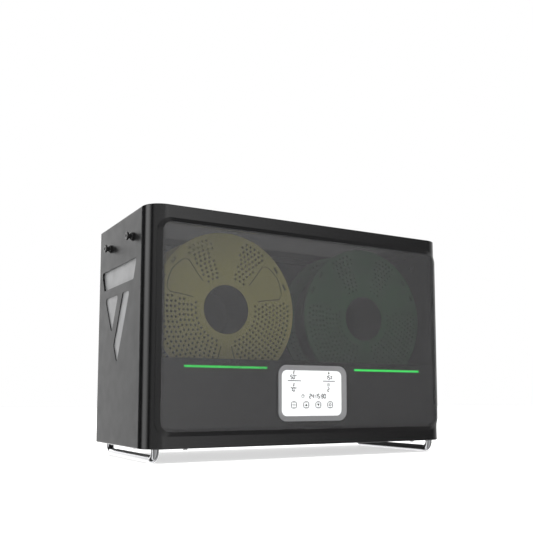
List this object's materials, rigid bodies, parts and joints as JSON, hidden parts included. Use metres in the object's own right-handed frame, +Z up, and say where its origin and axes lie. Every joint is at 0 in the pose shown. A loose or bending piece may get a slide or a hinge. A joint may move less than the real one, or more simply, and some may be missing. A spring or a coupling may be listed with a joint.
{
  "type": "filament dryer box",
  "caption": "Desktop filament dryer box with smoked front window, touch display, hinged lid, spool rollers, side tube outlets and bent rod feet.",
  "frame": {"origin": "on the floor under the middle of the box", "axes": "+X to the right as seen from the front, +Y to the rear, +Z up"},
  "size_m": [0.4756, 0.2139, 0.311],
  "materials": {
    "body_plastic": "satin grey",
    "inner_plastic": "satin dark grey",
    "base_plastic": "matt dark grey",
    "smoked_pane": "smoked clear gloss",
    "bezel_metal": "satin silver",
    "screen_face": "lit gloss screen",
    "board": "green laminate",
    "light_bar": "lit green",
    "side_inlay": "matt light grey",
    "foot_chrome": "polished",
    "steel": "plain",
    "axle_steel": "ground",
    "outlet_black": "gloss black",
    "seal_rubber": "matt",
    "hinge_metal": "satin black",
    "heater_fins": "plain",
    "fan_plastic": "matt black",
    "supply_case": "plain",
    "inlet_plastic": "matt black",
    "pin_brass": "plated",
    "rear_steel": "fine textured black",
    "roller_plastic": "satin",
    "spool_yellow": "clear-tinted yellow",
    "spool_green": "clear-tinted green",
    "strand_yellow": "smooth",
    "strand_green": "smooth",
    "switch_rocker": "gloss black"
  },
  "bodies": {
    "cabinet": {"outer_shell": "body_plastic", "base_plate": "base_plastic", "rear_panel": "rear_steel", "bay_liner": "inner_plastic", "spool_tray": "inner_plastic", "front_window": "smoked_pane", "display_bezel": "bezel_metal", "display_screen": "screen_face", "display_board": "board", "light_bar_left": "light_bar", "light_bar_right": "light_bar", "side_trim_left": "side_inlay", "side_trim_right": "side_inlay", "foot_bar_left": "foot_chrome", "foot_bar_right": "foot_chrome", "foot_nuts": "steel", "roller_axles": "axle_steel", "outlet_fittings": "outlet_black", "outlet_nuts": "outlet_black", "lid_seal": "seal_rubber", "hinge_brackets": "hinge_metal", "hinge_pins": "axle_steel", "heater_left": "heater_fins", "heater_right": "heater_fins", "fan_frame_left": "fan_plastic", "fan_frame_right": "fan_plastic", "fan_screws": "steel", "control_board": "board", "power_supply": "supply_case", "power_inlet": "inlet_plastic", "inlet_pins": "pin_brass", "switch_housing": "inlet_plastic", "base_screws": "steel", "rear_screws": "steel", "hinge_screws": "steel", "humidity_sensor": "inner_plastic"},
    "lid": {"lid_frame": "inner_plastic", "lid_window": "smoked_pane", "lid_hinge_arms": "hinge_metal", "lid_screws": "steel"},
    "spool_left": {"spool_left": "spool_yellow", "filament_left": "strand_yellow"},
    "spool_right": {"spool_right": "spool_green", "filament_right": "strand_green"},
    "roller_front_1": {"roller_front_1": "roller_plastic"},
    "roller_front_2": {"roller_front_2": "roller_plastic"},
    "roller_front_3": {"roller_front_3": "roller_plastic"},
    "roller_front_4": {"roller_front_4": "roller_plastic"},
    "roller_rear_1": {"roller_rear_1": "roller_plastic"},
    "roller_rear_2": {"roller_rear_2": "roller_plastic"},
    "roller_rear_3": {"roller_rear_3": "roller_plastic"},
    "roller_rear_4": {"roller_rear_4": "roller_plastic"},
    "outlet_collet_left_front": {"outlet_collet_left_front": "outlet_black"},
    "outlet_collet_left_rear": {"outlet_collet_left_rear": "outlet_black"},
    "outlet_collet_right_front": {"outlet_collet_right_front": "outlet_black"},
    "outlet_collet_right_rear": {"outlet_collet_right_rear": "outlet_black"},
    "fan_rotor_left": {"fan_rotor_left": "fan_plastic"},
    "fan_rotor_right": {"fan_rotor_right": "fan_plastic"},
    "switch_rocker": {"switch_rocker": "switch_rocker"}
  },
  "joints": [
    {"name": "lid_hinge", "type": "hinge", "parent": "cabinet", "child": "lid", "pos_m": [0, 0.1037, 0.30546], "axis": [-1, 0, 0], "range_deg": [0, 105]},
    {"name": "spool_left_spin", "type": "hinge", "parent": "cabinet", "child": "spool_left", "pos_m": [-0.11, -0.0376, 0.19146], "axis": [0, 1, 0], "continuous": true},
    {"name": "spool_right_spin", "type": "hinge", "parent": "cabinet", "child": "spool_right", "pos_m": [0.11, -0.0376, 0.19146], "axis": [0, 1, 0], "continuous": true},
    {"name": "roller_front_1_spin", "type": "hinge", "parent": "cabinet", "child": "roller_front_1", "pos_m": [-0.15619, -0.0376, 0.0924], "axis": [0, 1, 0], "continuous": true},
    {"name": "roller_front_2_spin", "type": "hinge", "parent": "cabinet", "child": "roller_front_2", "pos_m": [-0.06381, -0.0376, 0.0924], "axis": [0, 1, 0], "continuous": true},
    {"name": "roller_front_3_spin", "type": "hinge", "parent": "cabinet", "child": "roller_front_3", "pos_m": [0.06381, -0.0376, 0.0924], "axis": [0, 1, 0], "continuous": true},
    {"name": "roller_front_4_spin", "type": "hinge", "parent": "cabinet", "child": "roller_front_4", "pos_m": [0.15619, -0.0376, 0.0924], "axis": [0, 1, 0], "continuous": true},
    {"name": "roller_rear_1_spin", "type": "hinge", "parent": "cabinet", "child": "roller_rear_1", "pos_m": [-0.15619, 0.0376, 0.0924], "axis": [0, 1, 0], "continuous": true},
    {"name": "roller_rear_2_spin", "type": "hinge", "parent": "cabinet", "child": "roller_rear_2", "pos_m": [-0.06381, 0.0376, 0.0924], "axis": [0, 1, 0], "continuous": true},
    {"name": "roller_rear_3_spin", "type": "hinge", "parent": "cabinet", "child": "roller_rear_3", "pos_m": [0.06381, 0.0376, 0.0924], "axis": [0, 1, 0], "continuous": true},
    {"name": "roller_rear_4_spin", "type": "hinge", "parent": "cabinet", "child": "roller_rear_4", "pos_m": [0.15619, 0.0376, 0.0924], "axis": [0, 1, 0], "continuous": true},
    {"name": "outlet_collet_left_front_press", "type": "slide", "parent": "cabinet", "child": "outlet_collet_left_front", "axis": [1, 0, 0], "range_m": [0, 0.0016]},
    {"name": "outlet_collet_left_rear_press", "type": "slide", "parent": "cabinet", "child": "outlet_collet_left_rear", "axis": [1, 0, 0], "range_m": [0, 0.0016]},
    {"name": "outlet_collet_right_front_press", "type": "slide", "parent": "cabinet", "child": "outlet_collet_right_front", "axis": [-1, 0, 0], "range_m": [0, 0.0016]},
    {"name": "outlet_collet_right_rear_press", "type": "slide", "parent": "cabinet", "child": "outlet_collet_right_rear", "axis": [-1, 0, 0], "range_m": [0, 0.0016]},
    {"name": "fan_rotor_left_spin", "type": "hinge", "parent": "cabinet", "child": "fan_rotor_left", "pos_m": [-0.11, 0, 0.05], "axis": [0, 0, 1], "continuous": true},
    {"name": "fan_rotor_right_spin", "type": "hinge", "parent": "cabinet", "child": "fan_rotor_right", "pos_m": [0.11, 0, 0.05], "axis": [0, 0, 1], "continuous": true},
    {"name": "switch_rock", "type": "hinge", "parent": "cabinet", "child": "switch_rocker", "pos_m": [0.085, 0.101, 0.05], "axis": [-1, 0, 0], "range_deg": [0, 16]}
  ]
}
